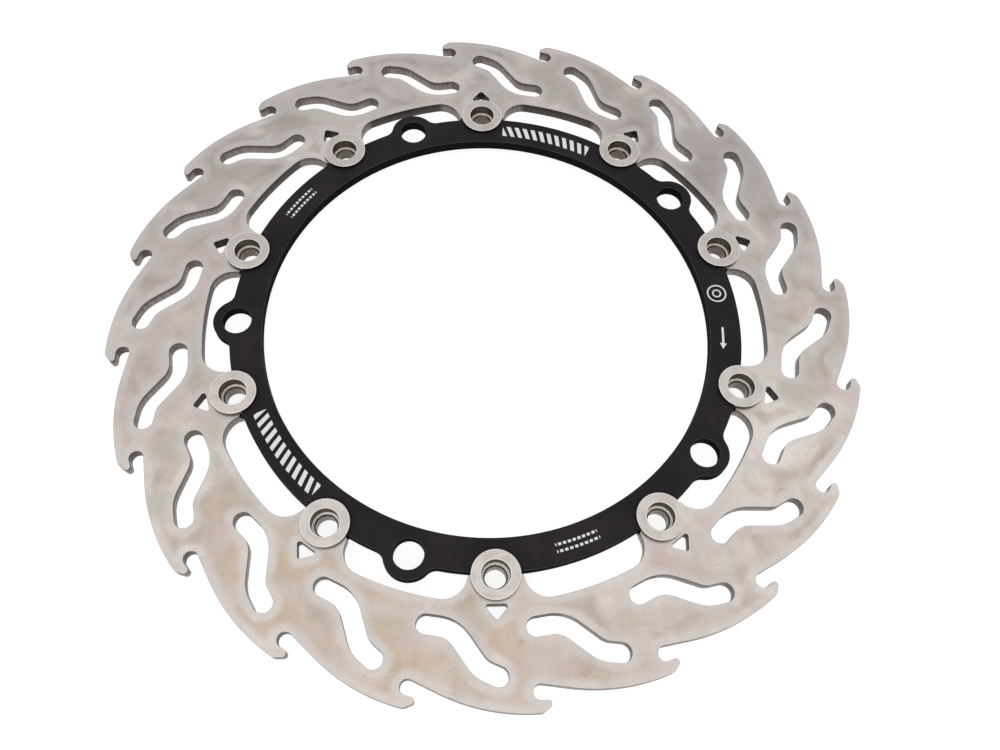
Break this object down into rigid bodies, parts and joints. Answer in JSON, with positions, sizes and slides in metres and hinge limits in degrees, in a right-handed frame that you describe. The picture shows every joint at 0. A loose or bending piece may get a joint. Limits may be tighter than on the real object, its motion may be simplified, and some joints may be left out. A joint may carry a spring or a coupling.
{
  "type": "floating brake disc rotor",
  "caption": "Floating front brake disc: a toothed and slotted steel friction ring carried on a black ring carrier by hollow drive bobbins, with washers and circlips behind.",
  "frame": {"origin": "on the disc's axis, level with the lowest point, the bobbins' tails", "axes": "+Z along the disc's axis, towards the bobbins' flanges; +Y through the middle of the first bobbin; the teeth's tips point counter-clockwise seen from +Z"},
  "size_m": [0.3034, 0.3034, 0.011],
  "materials": {
    "ring_steel": "ground stainless steel, mottled by heat, satin",
    "carrier_black": "black anodised, satin",
    "bobbin_steel": "turned stainless steel",
    "wave_washer_steel": "bright spring steel",
    "flat_washer_steel": "stamped stainless steel",
    "circlip_steel": "phosphated black spring steel"
  },
  "bodies": {
    "carrier": {"carrier": "carrier_black"},
    "friction_ring": {"friction_ring": "ring_steel"},
    "drive_set_01": {"bobbin_01": "bobbin_steel", "wave_washer_01": "wave_washer_steel", "flat_washer_01": "flat_washer_steel", "circlip_01": "circlip_steel"},
    "drive_set_02": {"bobbin_02": "bobbin_steel", "wave_washer_02": "wave_washer_steel", "flat_washer_02": "flat_washer_steel", "circlip_02": "circlip_steel"},
    "drive_set_03": {"bobbin_03": "bobbin_steel", "wave_washer_03": "wave_washer_steel", "flat_washer_03": "flat_washer_steel", "circlip_03": "circlip_steel"},
    "drive_set_04": {"bobbin_04": "bobbin_steel", "wave_washer_04": "wave_washer_steel", "flat_washer_04": "flat_washer_steel", "circlip_04": "circlip_steel"},
    "drive_set_05": {"bobbin_05": "bobbin_steel", "wave_washer_05": "wave_washer_steel", "flat_washer_05": "flat_washer_steel", "circlip_05": "circlip_steel"},
    "drive_set_06": {"bobbin_06": "bobbin_steel", "wave_washer_06": "wave_washer_steel", "flat_washer_06": "flat_washer_steel", "circlip_06": "circlip_steel"},
    "drive_set_07": {"bobbin_07": "bobbin_steel", "wave_washer_07": "wave_washer_steel", "flat_washer_07": "flat_washer_steel", "circlip_07": "circlip_steel"},
    "drive_set_08": {"bobbin_08": "bobbin_steel", "wave_washer_08": "wave_washer_steel", "flat_washer_08": "flat_washer_steel", "circlip_08": "circlip_steel"},
    "drive_set_09": {"bobbin_09": "bobbin_steel", "wave_washer_09": "wave_washer_steel", "flat_washer_09": "flat_washer_steel", "circlip_09": "circlip_steel"},
    "drive_set_10": {"bobbin_10": "bobbin_steel", "wave_washer_10": "wave_washer_steel", "flat_washer_10": "flat_washer_steel", "circlip_10": "circlip_steel"}
  },
  "joints": [
    {"name": "ring_float", "type": "slide", "parent": "carrier", "child": "friction_ring", "axis": [0, 0, 1], "range_m": [-0.0002, 0.0002]},
    {"name": "bobbin_turn_01", "type": "hinge", "parent": "carrier", "child": "drive_set_01", "pos_m": [0, 0.10495, 0], "axis": [0, 0, 1], "continuous": true},
    {"name": "bobbin_turn_02", "type": "hinge", "parent": "carrier", "child": "drive_set_02", "pos_m": [0.06169, 0.08491, 0], "axis": [0, 0, 1], "continuous": true},
    {"name": "bobbin_turn_03", "type": "hinge", "parent": "carrier", "child": "drive_set_03", "pos_m": [0.09981, 0.03243, 0], "axis": [0, 0, 1], "continuous": true},
    {"name": "bobbin_turn_04", "type": "hinge", "parent": "carrier", "child": "drive_set_04", "pos_m": [0.09981, -0.03243, 0], "axis": [0, 0, 1], "continuous": true},
    {"name": "bobbin_turn_05", "type": "hinge", "parent": "carrier", "child": "drive_set_05", "pos_m": [0.06169, -0.08491, 0], "axis": [0, 0, 1], "continuous": true},
    {"name": "bobbin_turn_06", "type": "hinge", "parent": "carrier", "child": "drive_set_06", "pos_m": [0, -0.10495, 0], "axis": [0, 0, 1], "continuous": true},
    {"name": "bobbin_turn_07", "type": "hinge", "parent": "carrier", "child": "drive_set_07", "pos_m": [-0.06169, -0.08491, 0], "axis": [0, 0, 1], "continuous": true},
    {"name": "bobbin_turn_08", "type": "hinge", "parent": "carrier", "child": "drive_set_08", "pos_m": [-0.09981, -0.03243, 0], "axis": [0, 0, 1], "continuous": true},
    {"name": "bobbin_turn_09", "type": "hinge", "parent": "carrier", "child": "drive_set_09", "pos_m": [-0.09981, 0.03243, 0], "axis": [0, 0, 1], "continuous": true},
    {"name": "bobbin_turn_10", "type": "hinge", "parent": "carrier", "child": "drive_set_10", "pos_m": [-0.06169, 0.08491, 0], "axis": [0, 0, 1], "continuous": true}
  ]
}
